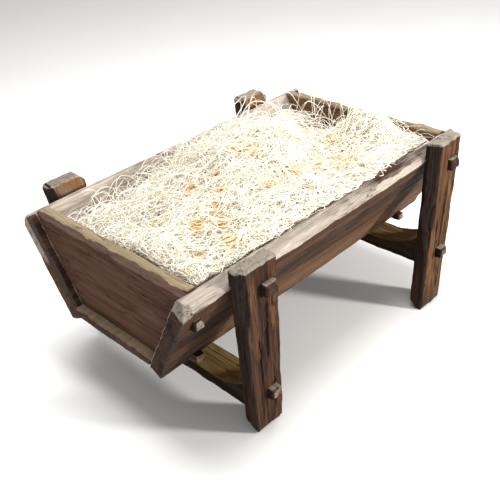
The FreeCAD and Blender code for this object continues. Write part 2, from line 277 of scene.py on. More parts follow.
def wool(name, bump):
    """Shaved spruce: cream at the surface, yellower below with painted shade, and golden where the strand is
    a tight curl. Attribute strand is the place along the strand, its tone, and its depth, which is above 1 in
    a curl."""
    n = Nodes(name)
    strand = n.add("Attribute", {}, "Vector", attribute_name="strand")
    along, tone, depth = (n.add("SeparateXYZ", {0: strand}, axis) for axis in range(3))
    fibre = n.pattern(strand, (700, 60, 0), 3, 0.6)
    fresh = n.mix(tone, srgb(250, 248, 242), srgb(248, 238, 214))
    # Painted shade: the colour of strands deep under the surface.
    deep = n.mix(tone, srgb(252, 240, 210), srgb(246, 222, 170))
    gold = n.mix(tone, srgb(242, 200, 134), srgb(216, 150, 76))
    colour = n.mix(n.spread(depth, 0.3, 1.0), fresh, deep)
    colour = n.mix(n.spread(depth, 1.0, 2.0), colour, gold)
    colour = n.mix(n.spread(fibre, 0.3, 0.7, 0.0, 0.12), colour, srgb(246, 226, 184))
    n.shader.inputs["Specular IOR Level"].default_value = 0.3
    return n.finish(colour, n.spread(fibre, 0.3, 0.7, 0.5, 0.75), fibre, bump)


# ---------------------------------------------------------------- wooden pieces

class Timber:
    """A wooden piece being shaped. Its points are in its own frame: X along the grain, Z out of its face.
    Each piece has a seed of its own, which goes up by one with every edge that is cut."""

    made = 0

    def __init__(self, node, grain, face, cell):
        self.node = node
        self.seed = 11 * Timber.made
        Timber.made += 1
        along = Vector(grain).normalized()
        out = Vector(face)
        out = (out - out.dot(along) * along).normalized()
        self.turn = np.array([along, out.cross(along), out])
        low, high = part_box(node)
        self.middle = np.array((low + high) / 2)
        shape = bmesh.new()
        shape.from_mesh(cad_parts[node].data)
        bmesh.ops.remove_doubles(shape, verts=shape.verts, dist=1e-5)
        shape.transform(Matrix(self.turn.tolist()).to_4x4() @ Matrix.Translation(-Vector(self.middle)))
        shape.normal_update()
        self.sides = [(np.array(f.normal), f.calc_center_median(), f.calc_area()) for f in shape.faces]
        blank = bpy.data.meshes.new(node + "_blank")
        shape.to_mesh(blank)
        shape.free()
        self.mesh = voxel_copy(blank, cell)
        self.points = read(self.mesh.vertices, "co", 3)
        self.wear = np.zeros(len(self.points))
        self.cut = np.zeros(len(self.points))
        self.tone = np.zeros(len(self.points))
        self.read_normals()

    def read_normals(self):
        """Put the points into the mesh and read which way the surface looks at each."""
        self.mesh.vertices.foreach_set("co", self.points.astype(np.float32).ravel())
        self.mesh.update()
        self.normals = read(self.mesh.vertices, "normal", 3)

    def own(self, direction):
        """A world direction in the piece's frame."""
        return self.turn @ np.asarray(Vector(direction).normalized())

    def side(self, direction):
        """Normal and offset of the piece's largest flat side that looks along a world direction."""
        wanted = self.own(direction)
        normal, centre, _ = max((s for s in self.sides if s[0] @ wanted > 0.8), key=lambda s: s[2])
        return normal, normal @ np.array(centre)

    def world(self):
        """The points in the world."""
        return self.points @ self.turn + self.middle

    def bevel(self, first, second, sizes, cuts=0.35, spacing=0.028, worn=0.0, share=None, worn_share=None):
        """Take an edge off with knife cuts. Sizes are how far the flat runs onto each of its two sides, cuts
        is how much its depth varies, and spacing is from cut to cut. Shares scale its depth and its wear."""
        (n1, d1), (n2, d2) = self.side(first), self.side(second)
        slope = n1 / sizes[0] + n2 / sizes[1]
        edge = np.cross(n1, n2)
        place = self.points @ (edge / np.linalg.norm(edge))
        self.seed += 1
        reach = 1 + cuts * (2 * knife_cuts(place, spacing, self.seed) - 1)
        if share is not None:
            reach = reach * share(self.world())
        over = (self.points @ n1 - d1) / sizes[0] + (self.points @ n2 - d2) / sizes[1] + reach
        if worn_share is not None:
            worn = worn * worn_share(self.world())
        self.push(slope, over, worn)

    def clip(self, direction, depth, worn=0.0):
        """Take a corner off, as deep as depth below its outermost point."""
        normal = self.own(direction)
        over = self.points @ normal
        over = over - over.max() + depth
        self.push(normal, over, worn)

    def push(self, slope, over, worn):
        """Move the points back to where over, which grows along slope, is 0, and mark them cut and worn."""
        steep = slope @ slope
        self.points -= slope * (np.maximum(over, 0) / steep)[:, None]
        taken = fade(over / math.sqrt(steep), -0.0012, 0.0004)
        self.wear = np.maximum(self.wear, worn * taken)
        self.cut = np.maximum(self.cut, taken)

    def facing(self, direction, share=None):
        """1 on the faces that look along a world direction, 0 elsewhere, times a share by place."""
        self.read_normals()
        found = fade(self.normals @ self.own(direction), 0.80, 0.95)
        return found if share is None else found * share(self.world())

    def wear_face(self, direction, amount, share=None):
        """Wear the faces that look along a world direction: 0 is not at all and 1 is all pale."""
        self.wear = np.maximum(self.wear, amount * self.facing(direction, share))

    def stain(self, direction, tone, share=None):
        """Give the faces that look along a world direction a tone: -1 is black and 1 is pale. Tones serve for
        stains and for painted light and shade.
        """
        self.tone += (tone - self.tone) * self.facing(direction, share)

    def split(self, start, end, width, depth, facing):
        """A drying crack between two world points, in the side that looks along a world direction."""
        first, last = (self.turn @ (np.array(p) - self.middle) for p in (start, end))
        line = last - first
        into = self.own(facing)
        t = np.clip((self.points - first) @ line / (line @ line), 0, 1)
        waver = noise(np.outer(t, line), (0.02, 0.02, 0.02), self.seed) * width
        away = np.cross(line / np.linalg.norm(line), into)
        gap = np.abs((self.points - first - t[:, None] * line) @ away + waver)
        sunk = fade(gap, width, 0) * self.facing(facing) * np.sin(math.pi * t) ** 0.5
        self.points -= np.outer(sunk * depth, into)
        self.tone -= 1.2 * sunk

    def weather(self, swell=0.0011, furrow=0.0009, lift=0.0):
        """Broad hollows and furrows along the grain, into the wood from lift above its sides."""
        self.read_normals()
        hollow = noise(self.points, (0.075, 0.034, 0.034), self.seed + 3) * 0.5 + 0.5
        groove = np.abs(noise(self.points, (0.11, 0.009, 0.009), self.seed + 4))
        fine = np.abs(noise(self.points, (0.05, 0.005, 0.005), self.seed + 5))
        depth = swell * hollow + furrow * fade(groove, 0.35, 0.0) + 0.4 * furrow * fade(fine, 0.4, 0.0)
        depth *= 1 - 0.7 * fade(np.abs(self.normals[:, 0]), 0.6, 0.9)
        self.points -= self.normals * (depth - lift)[:, None]

    def stand(self):
        """Flatten what would reach below the ground."""
        low = np.minimum(self.world()[:, 2], 0)
        self.points -= np.outer(low, self.turn[:, 2])

    def finish(self, slot):
        """Store what the material reads, put the mesh into the world and hand it over as a piece. The shift
        gives each piece a grain of its own."""
        shift = self.seed * np.array([0.37, 0.053, 0.029])
        write_attribute(self.mesh, "grain", "FLOAT_VECTOR", self.points + shift)
        write_attribute(self.mesh, "wear", "FLOAT", self.wear)
        write_attribute(self.mesh, "cut", "FLOAT", self.cut)
        write_attribute(self.mesh, "tone", "FLOAT", self.tone)
        self.read_normals()
        write_attribute(self.mesh, "butt", "FLOAT", fade(np.abs(self.normals[:, 0]), 0.6, 0.9))
        self.points = self.world()
        self.read_normals()
        self.mesh.materials.clear()
        self.mesh.materials.append(WOODS[slot])
        self.mesh.shade_smooth()
        self.mesh.set_sharp_from_angle(angle=math.radians(40))
        piece = bpy.data.objects.new(self.node + "_wood", self.mesh)
        scene.collection.objects.link(piece)
        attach(piece, "frame")
        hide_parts(self.node)


def by_height(start, end, least=0.0):
    """A share of points by place: least before the first height and 1 after the second."""
    return lambda place: least + (1 - least) * fade(place[:, 2], start, end)


def by_length(start, end, least=0.0):
    """The same between two places along the trough."""
    return lambda place: least + (1 - least) * fade(place[:, 0], start, end)


def by_distance(start, end):
    """0 before the first distance from the middle of the trough's length, 1 after the second."""
    return lambda place: fade(np.abs(place[:, 0]), start, end)


def side_board(side, across):
    """A long board of the trough, which leans out. The back one is worn paler than the front one."""
    up = Vector((0, across * math.sin(SIDE_SLOPE), math.cos(SIDE_SLOPE)))
    out = Vector((0, across * math.cos(SIDE_SLOPE), -math.sin(SIDE_SLOPE)))
    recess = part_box("end_board_right")[1].x
    back = across > 0
    board = Timber(f"side_board_{side}", RIGHT, out, cell=0.0025)
    board.bevel(up, out, (0.007, 0.008), cuts=0.45, spacing=0.036, worn=0.8)
    board.bevel(up, -out, (0.004, 0.003), cuts=0.5, spacing=0.05, worn=0.6)
    board.bevel(-up, out, (0.004, 0.004), cuts=0.4, spacing=0.04)
    if back:
        board.wear_face(up, 0.9)
    else:
        board.wear_face(up, 0.85, by_length(0.15, -0.20, least=0.6))
        board.stain(up, -0.32)
    board.wear_face(-out, 0.75 if back else 0.2, by_distance(recess + 0.001, recess - 0.001))
    # Painted shade on the outer face just under the rim, and painted light on its lower part.
    board.stain(out, -0.30, by_height(RIM - 0.085, RIM - 0.03))
    board.stain(out, 0.55, by_height(RIM - 0.10, RIM - 0.15))
    # Painted shadow of the front left leg on the front board's outer face, to the left of the leg.
    if not back:
        board.stain(out, -0.4, by_length(-0.23, -0.27))
    for along in ENDS.values():
        tip = along * RIGHT
        if back:
            board.bevel(tip, up, (0.005, 0.004), cuts=0.3, spacing=0.02, worn=1.0)
            board.bevel(tip, out, (0.006, 0.003), cuts=0.25, spacing=0.05, worn=1.0,
                        share=by_height(RIM - 0.12, RIM - 0.04, least=0.3),
                        worn_share=by_height(RIM - 0.14, RIM - 0.05))
            board.bevel(tip, -out, (0.005, 0.006), cuts=0.35, spacing=0.06)
        else:
            board.bevel(tip, up, (0.008, 0.020), cuts=0.3, spacing=0.02, worn=1.0)
            board.bevel(tip, out, (0.003, 0.003), cuts=0.5, spacing=0.05)
            board.bevel(tip, -out, (0.003, 0.002), cuts=0.6, spacing=0.026, worn=0.85)
        board.clip(tip + up + 0.8 * out, 0.006, worn=1.0)
        board.bevel(tip, -up, (0.005, 0.005), cuts=0.3, spacing=0.02)
        # Painted shade on the inner face past the end board, in the recess at the end.
        board.stain(-out, -0.35, by_length(along * (recess - 0.001), along * recess))
        board.stain(tip, 0.2 if back else -0.45)
        if back:
            board.wear_face(tip, 0.6, by_height(RIM - 0.17, RIM - 0.04))
        board.stain(tip + out, -0.5, by_height(RIM - 0.06, RIM - 0.08))
    board.weather(lift=0.0006)
    board.finish("side_board_wood")


def end_board(end, along):
    """A board that closes one end of the trough, set in from the tips of the side boards."""
    out = along * RIGHT
    board = Timber(f"end_board_{end}", BACK, out, cell=0.0025)
    board.bevel(UP, out, (0.006, 0.010), cuts=0.5, spacing=0.05)
    board.bevel(UP, -out, (0.003, 0.003), cuts=0.5, spacing=0.05, worn=0.5)
    board.wear_face(UP, 0.95)
    board.stain(out, 0.15)
    board.stain(-out, 1.0)
    board.weather(swell=0.0012, furrow=0.001, lift=0.0005)
    board.finish("end_board_wood")


def bottom_board():
    """The floor of the trough."""
    board = Timber("bottom_board", RIGHT, UP, cell=0.0025)
    for end in (LEFT, RIGHT):
        board.bevel(end, UP, (0.003, 0.002), cuts=0.3, spacing=0.05, worn=0.6)
        board.bevel(end, DOWN, (0.005, 0.004), cuts=0.2, spacing=0.05)
    board.wear_face(UP, 0.75)
    # Painted shade on the underside.
    board.stain(DOWN, -0.5)
    board.weather(swell=0.0008, furrow=0.0008)
    board.finish("bottom_wood")


# Broad flats hewn on the legs' long edges: two sides, how far onto each, and the heights between which the
# flat grows to that.
LEG_FLATS = {
    "front_left": (((LEFT, FRONT), (0.009, 0.011), 0.22, 0.27),),
    "front_right": (((LEFT, FRONT), (0.011, 0.018), 0.10, 0.20),
                    ((RIGHT, FRONT), (0.006, 0.008), 0.30, 0.34)),
    "back_left": (((LEFT, FRONT), (0.010, 0.010), 0.30, 0.33),),
    "back_right": (((LEFT, FRONT), (0.009, 0.009), 0.30, 0.33),),
}
# Corners taken off the legs: which way each looks, and how deep.
LEG_CLIPS = {
    "front_left": ((LEFT + BACK + 0.7 * DOWN, 0.010), (LEFT + BACK + 1.4 * DOWN, 0.007)),
    "front_right": ((RIGHT + 1.3 * DOWN, 0.005), (LEFT + BACK + 0.9 * DOWN, 0.008)),
    "back_left": ((LEFT + UP, 0.005), (RIGHT + UP, 0.007)),
    "back_right": ((LEFT + UP, 0.004), (RIGHT + UP, 0.010)),
}
# How dark or pale the front of each leg is.
LEG_TONES = {"front_left": -0.18, "front_right": 0.14, "back_left": 1.0, "back_right": 1.0}
# Drying cracks down the legs: where each starts and stops, as shares of CRACK_SPAN from the leg's middle line
# and of its height, and the side that it is in.
LEG_CRACKS = (((0.35, 0.80), (0.10, 0.45), FRONT), ((-0.40, 0.62), (-0.30, 0.20), FRONT),
              ((0.55, 0.42), (0.45, 0.08), FRONT), ((0.20, 0.75), (0.05, 0.30), BACK),
              ((-0.45, 0.5), (-0.35, 0.12), BACK))
CRACK_SPAN = 0.03
SAME_HEIGHT = 1e-4


def leg(side, end):
    """A leg with its grain from foot to top. The back ones are pale in front."""
    corner = f"{side}_{end}"
    across, along = SIDES[side], ENDS[end]
    corners = np.array([v.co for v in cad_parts[f"leg_{corner}"].data.vertices])
    heights = corners[:, 2]
    top = Vector(corners[heights > heights.max() - SAME_HEIGHT].mean(axis=0))
    foot = Vector(corners[heights < heights.min() + SAME_HEIGHT].mean(axis=0))
    out = across * BACK
    piece = Timber(f"leg_{corner}", top - foot, out, cell=0.002)
    for edge in (LEFT, RIGHT):
        piece.bevel(edge, out, (0.003, 0.004), cuts=0.45, spacing=0.045)
        piece.bevel(edge, -out, (0.002, 0.002), cuts=0.45, spacing=0.05)
        piece.bevel(edge, UP, (0.003, 0.003), cuts=0.4, spacing=0.02, worn=0.7)
        piece.bevel(edge, DOWN, (0.003, 0.003), cuts=0.3, spacing=0.02)
    piece.bevel(out, UP, (0.003, 0.003), cuts=0.5, spacing=0.02, worn=0.8)
    piece.bevel(-out, UP, (0.003, 0.003), cuts=0.5, spacing=0.02, worn=0.8)
    piece.bevel(out, DOWN, (0.003, 0.003), cuts=0.4, spacing=0.02)
    piece.bevel(-out, DOWN, (0.003, 0.003), cuts=0.4, spacing=0.02)
    for sides, sizes, low, high in LEG_FLATS[corner]:
        piece.bevel(*sides, sizes, cuts=0.3, spacing=0.045, share=by_height(low, high, least=0.25))
    for direction, depth in LEG_CLIPS[corner]:
        piece.clip(direction, depth, worn=0.5 if direction.z > 0 else 0.0)
    piece.wear_face(UP, 0.9)
    if across > 0:
        piece.wear_face(FRONT, 0.42)
    piece.stain(UP, -0.28 if along < 0 else 0.0)
    # Painted shade on the narrow sides, and on the flats between them and the outer face.
    for edge in (LEFT, RIGHT):
        piece.stain(edge, -0.75)
        piece.stain(edge + out, -0.25)
    piece.stain(FRONT, LEG_TONES[corner])
    for start, stop, facing in LEG_CRACKS:
        ends = [foot + (top - foot) * height + CRACK_SPAN * place * RIGHT for place, height in (start, stop)]
        piece.split(*ends, width=0.0022, depth=0.004, facing=facing)
    piece.weather(swell=0.0016, furrow=0.0015, lift=0.0010)
    piece.stand()
    piece.finish("leg_wood")


def stretcher(end):
    """A rail from leg to leg under the trough, pale on top, with painted shade that makes its sides nearly
    black.
    """
    piece = Timber(f"stretcher_{end}", BACK, UP, cell=0.002)
    for edge in (LEFT, RIGHT):
        piece.bevel(edge, DOWN, (0.004, 0.004), cuts=0.4, spacing=0.03)
    for slant in (UP, UP + 0.5 * FRONT, UP + 0.5 * BACK):
        piece.stain(slant, 0.9)
        piece.wear_face(slant, 0.5)
    # Painted shade on the sides and the underside.
    for edge in (LEFT, RIGHT):
        piece.stain(edge, -0.95)
        piece.stain(edge + DOWN, -0.9)
    piece.stain(DOWN, -0.5)
    piece.weather(swell=0.0014, furrow=0.0014, lift=0.0006)
    piece.finish("stretcher_wood")


def batten(end):
    """A cross strip under the floor of the trough."""
    piece = Timber(f"bottom_batten_{end}", BACK, DOWN, cell=0.0014)
    for edge, tip in ((LEFT, FRONT), (RIGHT, BACK)):
        piece.bevel(edge, DOWN, (0.002, 0.002), cuts=0.4, spacing=0.02)
        piece.bevel(tip, DOWN, (0.003, 0.003), cuts=0.4, spacing=0.01, worn=0.6)
        piece.bevel(tip, RIGHT, (0.002, 0.002), cuts=0.4, spacing=0.01, worn=0.6)
        piece.bevel(tip, LEFT, (0.002, 0.002), cuts=0.4, spacing=0.01, worn=0.6)
        piece.wear_face(tip, 0.7)
    piece.weather(swell=0.0004, furrow=0.0005)
    piece.finish("bottom_wood")


def peg(node, across, worn):
    """A whittled peg, pale on top and on its outer end, with painted shade on its sides and underside."""
    out = across * BACK
    piece = Timber(node, out, UP, cell=0.0011)
    for edge, next_to in ((RIGHT, UP), (LEFT, UP), (UP, RIGHT), (DOWN, RIGHT)):
        piece.bevel(edge, next_to, (0.0012, 0.0012), cuts=0.5, spacing=0.01)
    piece.clip(out + 0.5 * RIGHT + 0.4 * UP, 0.002, worn=0.4)
    piece.wear_face(UP, 0.95)
    piece.wear_face(out, worn)
    piece.stain(out, -0.25)
    # Painted shade on the sides and the underside.
    for edge in (LEFT, RIGHT, DOWN):
        piece.stain(edge, -0.7)
    piece.weather(swell=0.0006, furrow=0.0005)
    piece.finish("peg_wood")


def nails(group, material):
    """The CAD's own nails, in steel."""
    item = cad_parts[group]
    item.data.materials.clear()
    item.data.materials.append(material)


for name, direction in SIDES.items():
    side_board(name, direction)
for name, direction in ENDS.items():
    end_board(name, direction)
    stretcher(name)
    batten(name)
bottom_board()
# How worn the outer end of each kind of peg is.
PEG_WEAR = {"upper": 0.3, "lower": 0.45, "end": 0.6}
for side, end in itertools.product(SIDES, ENDS):
    leg(side, end)
    for kind, worn in PEG_WEAR.items():
        peg(f"{kind}_peg_{side}_{end}", SIDES[side], worn)
NAIL_STEEL = steel()
for end in ENDS:
    nails(f"end_board_nails_{end}", NAIL_STEEL)
    nails(f"batten_nails_{end}", NAIL_STEEL)


# ---------------------------------------------------------------- wood wool

BED_HALF_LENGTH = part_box("wood_wool_fill")[1].x
FLOOR_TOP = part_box("bottom_board")[1].z
FLOOR_HALF_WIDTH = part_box("bottom_board")[1].y
# No strand reaches above the limit, and from a spring's depth below it they bend more and more.
TOP_LIMIT = cad_bounds[1].z + 0.019
SPRING = 0.025
# How far strands stay from the side boards, the end boards, the floor and the edge of the rim.
BOARD_GAP = 0.002
END_GAP = 0.001
FLOOR_GAP = 0.004
RIM_GAP = 0.001
# How far beyond the rim strands may lean for each metre above it, in front and behind.
FRONT_FLARE = 2.2
BACK_FLARE = 0.7
# The depth at which a strand's painted shade is as yellow as it gets, and how far from the middle line
# strands may start.
SHADE_TINT_DEPTH = 0.022
START_HALF_WIDTH = 0.185
RIBBON_THICKNESS = 0.0005
# The heap's level, its drop at the ends, and the middle, radii and height of each rise or hollow in it.
HEAP_LEVEL = RIM - 0.018
END_DROP = 0.012
MOUNDS = (
    ((0.04, 0.03), (0.13, 0.10), 0.062),
    ((-0.14, -0.08), (0.15, 0.08), 0.030),
    ((0.02, -0.18), (0.30, 0.05), 0.027),
    ((0.235, -0.08), (0.045, 0.06), 0.060),
    ((0.27, 0.08), (0.09, 0.09), -0.060),
    ((0.33, -0.04), (0.040, 0.20), -0.060),
    ((-0.31, -0.10), (0.05, 0.12), 0.010),
    ((-0.19, 0.17), (0.16, 0.07), -0.036),
    ((-0.31, 0.15), (0.05, 0.06), -0.014),
    ((0.16, 0.15), (0.07, 0.05), -0.014),
)
# Round gaps between the strands, where golden curls show: the x, y and radius of each.
GAP_COUNT = 30
rng = np.random.default_rng(41)
GAPS = np.column_stack([rng.uniform(-0.28, 0.18, GAP_COUNT), rng.uniform(-0.165, 0.05, GAP_COUNT),
                        rng.uniform(0.009, 0.015, GAP_COUNT)])
STRANDS = 1200
WOOL = wool("wood_wool", bump=0.0002)


def wall(z):
    """Half the room between the side boards at a height."""
    return FLOOR_HALF_WIDTH + (np.minimum(z, RIM) - FLOOR_TOP) * math.tan(SIDE_SLOPE)


def heap(x, y):
    """Height of the wool's surface."""
    height = np.full(np.shape(x), HEAP_LEVEL)
    for (cx, cy), (rx, ry), rise in MOUNDS:
        height = height + rise * np.exp(-((x - cx) / rx) ** 2 - ((y - cy) / ry) ** 2)
    from_end = np.maximum(0, BED_HALF_LENGTH - np.abs(x))
    height = height - END_DROP * np.exp(-from_end / END_DROP)
    flat = np.stack([x, y, np.zeros_like(x)], axis=-1).reshape(-1, 3)
    lumps = noise(flat, (0.06, 0.06, 1), 5) * 0.007 + noise(flat, (0.025, 0.025, 1), 6) * 0.004
    return height + lumps.reshape(np.shape(x))


def ease(z):
    """Height that levels off below the top of the space the wool may fill."""
    over = np.maximum(0, z - TOP_LIMIT + SPRING)
    return z - over + SPRING * np.tanh(over / SPRING)


def room(y, z):
    """How far from the middle strands may reach at a height: to the boards, and a little over the rim."""
    flare = np.where(y < 0, FRONT_FLARE, BACK_FLARE)
    return wall(z) - BOARD_GAP + flare * np.maximum(0, z - RIM - RIM_GAP)


def wander(rng, start, heading, steps, stride, bend, memory):
    """Flat paths from start. Each turns by about bend a step, and memory is how much of a turn it keeps."""
    place = start.copy()
    turn = rng.normal(0, bend, len(start))
    path = [place]
    for _ in range(steps - 1):
        turn = memory * turn + math.sqrt(1 - memory ** 2) * rng.normal(0, bend, len(start))
        heading = heading + turn
        place = place + stride[:, None] * np.stack([np.cos(heading), np.sin(heading)], axis=1)
        path.append(place)
    return np.stack(path, axis=1)


def fold(value, limit):
    """Turn values beyond a limit on either side back in."""
    return value - 2 * np.sign(value) * np.maximum(0, np.abs(value) - limit)


def soften(paths):
    """Round the kinks of paths."""
    inner = (paths[:, :-2] + 2 * paths[:, 1:-1] + paths[:, 2:]) / 4
    return np.concatenate([paths[:, :1], inner, paths[:, -1:]], axis=1)


def open_up(path):
    """Push flat paths towards the rims of the gaps."""
    for x, y, radius in GAPS:
        away = path - (x, y)
        distance = np.linalg.norm(away, axis=-1, keepdims=True) + 1e-6
        path = path + away / distance * np.maximum(0, 1.15 * radius - distance) * 0.9
    return path


def dip(x, y):
    """How far the surface sinks into the gaps."""
    sunk = np.zeros(np.shape(x))
    for cx, cy, radius in GAPS:
        share = np.exp(-((x - cx) ** 2 + (y - cy) ** 2) / (0.8 * radius) ** 2)
        sunk = np.maximum(sunk, 1.6 * radius * share)
    return sunk


def twist(rng, count, steps):
    """Turn of each ribbon about its path."""
    return rng.uniform(0, math.pi, (count, 1)) + rng.normal(0, 1.1, (count, 1)) * np.linspace(0, 1, steps)


def golden(x, y):
    """1 in the middle of a gap, less around it."""
    near = np.zeros(np.shape(x))
    for cx, cy, radius in GAPS:
        near = np.maximum(near, np.exp(-((x - cx) ** 2 + (y - cy) ** 2) / (1.25 * radius) ** 2))
    return near


def ribbon_mesh(name, paths, widths, attribute, turned):
    """Closed flat ribbons along paths of equal step count. They lie flat where turned is 0."""
    count, steps, _ = paths.shape
    tangent = np.gradient(paths, axis=1)
    tangent /= np.linalg.norm(tangent, axis=2, keepdims=True) + 1e-9
    flat = np.cross(tangent, (0.0, 0.0, 1.0))
    flat /= np.linalg.norm(flat, axis=2, keepdims=True) + 1e-9
    upright = np.cross(flat, tangent)
    turned = turned[:, :, None]
    taper = np.minimum(1, 0.45 + 4 * np.minimum(np.linspace(0, 1, steps), np.linspace(1, 0, steps)))
    half = (widths[:, None] * taper / 2)[:, :, None]
    broad = (flat * np.cos(turned) + upright * np.sin(turned)) * half
    thin = (upright * np.cos(turned) - flat * np.sin(turned)) * RIBBON_THICKNESS / 2
    rings = np.stack([paths + broad, paths + thin, paths - broad, paths - thin], axis=2)
    index = np.arange(count * steps * 4).reshape(count, steps, 4)
    after = np.roll(index, -1, axis=2)
    walls = np.stack([index[:, :-1], after[:, :-1], after[:, 1:], index[:, 1:]], axis=-1).reshape(-1, 4)
    caps = np.concatenate([index[:, 0, ::-1], index[:, -1]])
    quads = np.concatenate([walls, caps])
    mesh = bpy.data.meshes.new(name)
    mesh.vertices.add(rings.size // 3)
    mesh.vertices.foreach_set("co", rings.astype(np.float32).ravel())
    mesh.loops.add(quads.size)
    mesh.loops.foreach_set("vertex_index", quads.astype(np.int32).ravel())
    mesh.polygons.add(len(quads))
    mesh.polygons.foreach_set("loop_start", np.arange(0, quads.size, 4, dtype=np.int32))
    mesh.update(calc_edges=True)
    mesh.shade_smooth()
    write_attribute(mesh, "strand", "FLOAT_VECTOR", np.repeat(attribute, 4, axis=1).reshape(-1, 3))
    return mesh


def wool_piece(name, mesh, material=WOOL):
    """Hand over a mesh as a piece of the fill."""
    mesh.materials.append(material)
    piece = bpy.data.objects.new(name, mesh)
    scene.collection.objects.link(piece)
    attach(piece, "fill")
    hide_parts("wood_wool_fill")


def layer(name, count, seed, depths, steps=20, bend=0.22, memory=0.75, lift=0.004, reach=1.0,
          along_boards=False):
    """One tangle of ribbons that lies between two depths under the surface of the heap and waves up and down
    by as much as lift. Reach makes the ribbons longer, and along_boards starts them at the trough's sides."""
    rng = np.random.default_rng(seed)
    corner = np.array((BED_HALF_LENGTH, START_HALF_WIDTH))
    start = rng.uniform(-corner, corner, (count, 2))
    if along_boards:
        gap = np.abs(rng.normal(0, 0.012, count))
        start[::2, 1] = (np.sign(start[:, 1]) * (wall(RIM) - gap))[::2]
        start[1::2, 0] = (np.sign(start[:, 0]) * (BED_HALF_LENGTH - gap))[1::2]
    stride = rng.uniform(0.0035, 0.0075, count) * reach
    heading = rng.uniform(0, 2 * math.pi, count)
    path = open_up(wander(rng, start, heading, steps, stride, bend * rng.uniform(0.4, 1.7, count), memory))
    x = fold(path[..., 0], BED_HALF_LENGTH - END_GAP)
    depth = rng.uniform(*depths, (count, 1))
    along = np.arange(steps) * stride[:, None]
    wave = np.sin(along / rng.uniform(0.009, 0.02, (count, 1)) + rng.uniform(0, 6.3, (count, 1)))
    tilt = rng.normal(0, 0.12, (count, 1)) * (along - along.mean(axis=1, keepdims=True))
    smooth = heap(x, path[..., 1])
    z = smooth - dip(x, path[..., 1]) - depth + wave * rng.uniform(0, lift, (count, 1)) + tilt
    z = ease(np.maximum(z, FLOOR_TOP + FLOOR_GAP))
    y = fold(path[..., 1], room(path[..., 1], z))
    paths = soften(np.stack([x, y, z], axis=-1))
    tone = np.broadcast_to(rng.uniform(0, 1, (count, 1)) ** 1.5, along.shape)
    # Painted shade: a strand is tinted yellower the deeper it lies under the heap's surface. Around the gaps
    # it is tinted golden.
    deep = np.clip((smooth - z) / SHADE_TINT_DEPTH, 0, 1)
    near = golden(x, y)
    deep = deep * (1 - near) + 1.75 * near * (1 - 0.5 * tone)
    attribute = np.stack([along + start[:, :1], tone, deep], axis=-1)
    widths = rng.uniform(0.0009, 0.0020, count)
    wool_piece(name, ribbon_mesh(name, paths, widths, attribute, twist(rng, count, steps)))


def packed(name, count, seed):
    """Ribbons pressed flat against the boards, the ends and the floor of the trough, under the heap."""
    rng = np.random.default_rng(seed)
    steps = 14
    top_gap = 0.012
    cover = 0.006
    rise = RIM - FLOOR_TOP
    slope = rise / math.cos(SIDE_SLOPE)
    bed = np.array((BED_HALF_LENGTH, FLOOR_HALF_WIDTH, FLOOR_TOP + BOARD_GAP))
    end_half = wall(RIM) - 0.03
    long, wide, tall = np.eye(3)
    tilt = np.array((0, math.sin(SIDE_SLOPE), math.cos(SIDE_SLOPE)))
    inward = np.array((0, -math.cos(SIDE_SLOPE), math.sin(SIDE_SLOPE)))
    mirror = np.array((1, -1, 1))
    # Each face's lower edge by its middle and half length, the ways along and up the face, how far up it
    # goes, and the way into the wool.
    faces = (
        (bed * (0, 1, 1), bed[0], long, tilt, slope, inward),
        (bed * (0, -1, 1), bed[0], long, tilt * mirror, slope, inward * mirror),
        (bed * (1, 0, 1), end_half, wide, tall, rise, -long),
        (bed * (-1, 0, 1), end_half, wide, tall, rise, long),
        (bed * (0, -1, 1), bed[0], long, wide, 2 * bed[1], tall),
    )
    areas = np.array([half * height for _, half, _, _, height, _ in faces])
    counts = np.round(count * areas / areas.sum()).astype(int)
    paths = []
    for number, (edge, half, along, up, height, way_in) in zip(counts, faces):
        start = rng.uniform((-half, 0), (half, height), (number, 2))
        heading = rng.uniform(0, 2 * math.pi, number)
        flat = wander(rng, start, heading, steps, rng.uniform(0.005, 0.009, number), 0.3, 0.8)
        u = fold(flat[..., 0], half - END_GAP)
        v = np.abs(fold(flat[..., 1], height - top_gap))
        depth = rng.uniform(0.002, 0.005, (number, 1)) + 0.001 * np.sin(0.9 * np.arange(steps))
        paths.append(edge + u[..., None] * along + v[..., None] * up + depth[..., None] * way_in)
    paths = np.concatenate(paths)
    half_room = wall(paths[..., 2]) - BOARD_GAP
    paths[..., 1] = np.clip(paths[..., 1], -half_room, half_room)
    under = paths[..., 2] < heap(paths[..., 0], paths[..., 1]) - cover
    paths = soften(paths[under.all(axis=1)])
    kept = len(paths)
    tone = np.broadcast_to(rng.uniform(0, 1, (kept, 1)), paths.shape[:2])
    attribute = np.stack([paths[..., 0] + paths[..., 2], tone, 0.25 * np.ones_like(tone)], axis=-1)
    widths = rng.uniform(0.0012, 0.0022, kept)
    wool_piece(name, ribbon_mesh(name, paths, widths, attribute, twist(rng, kept, steps)))


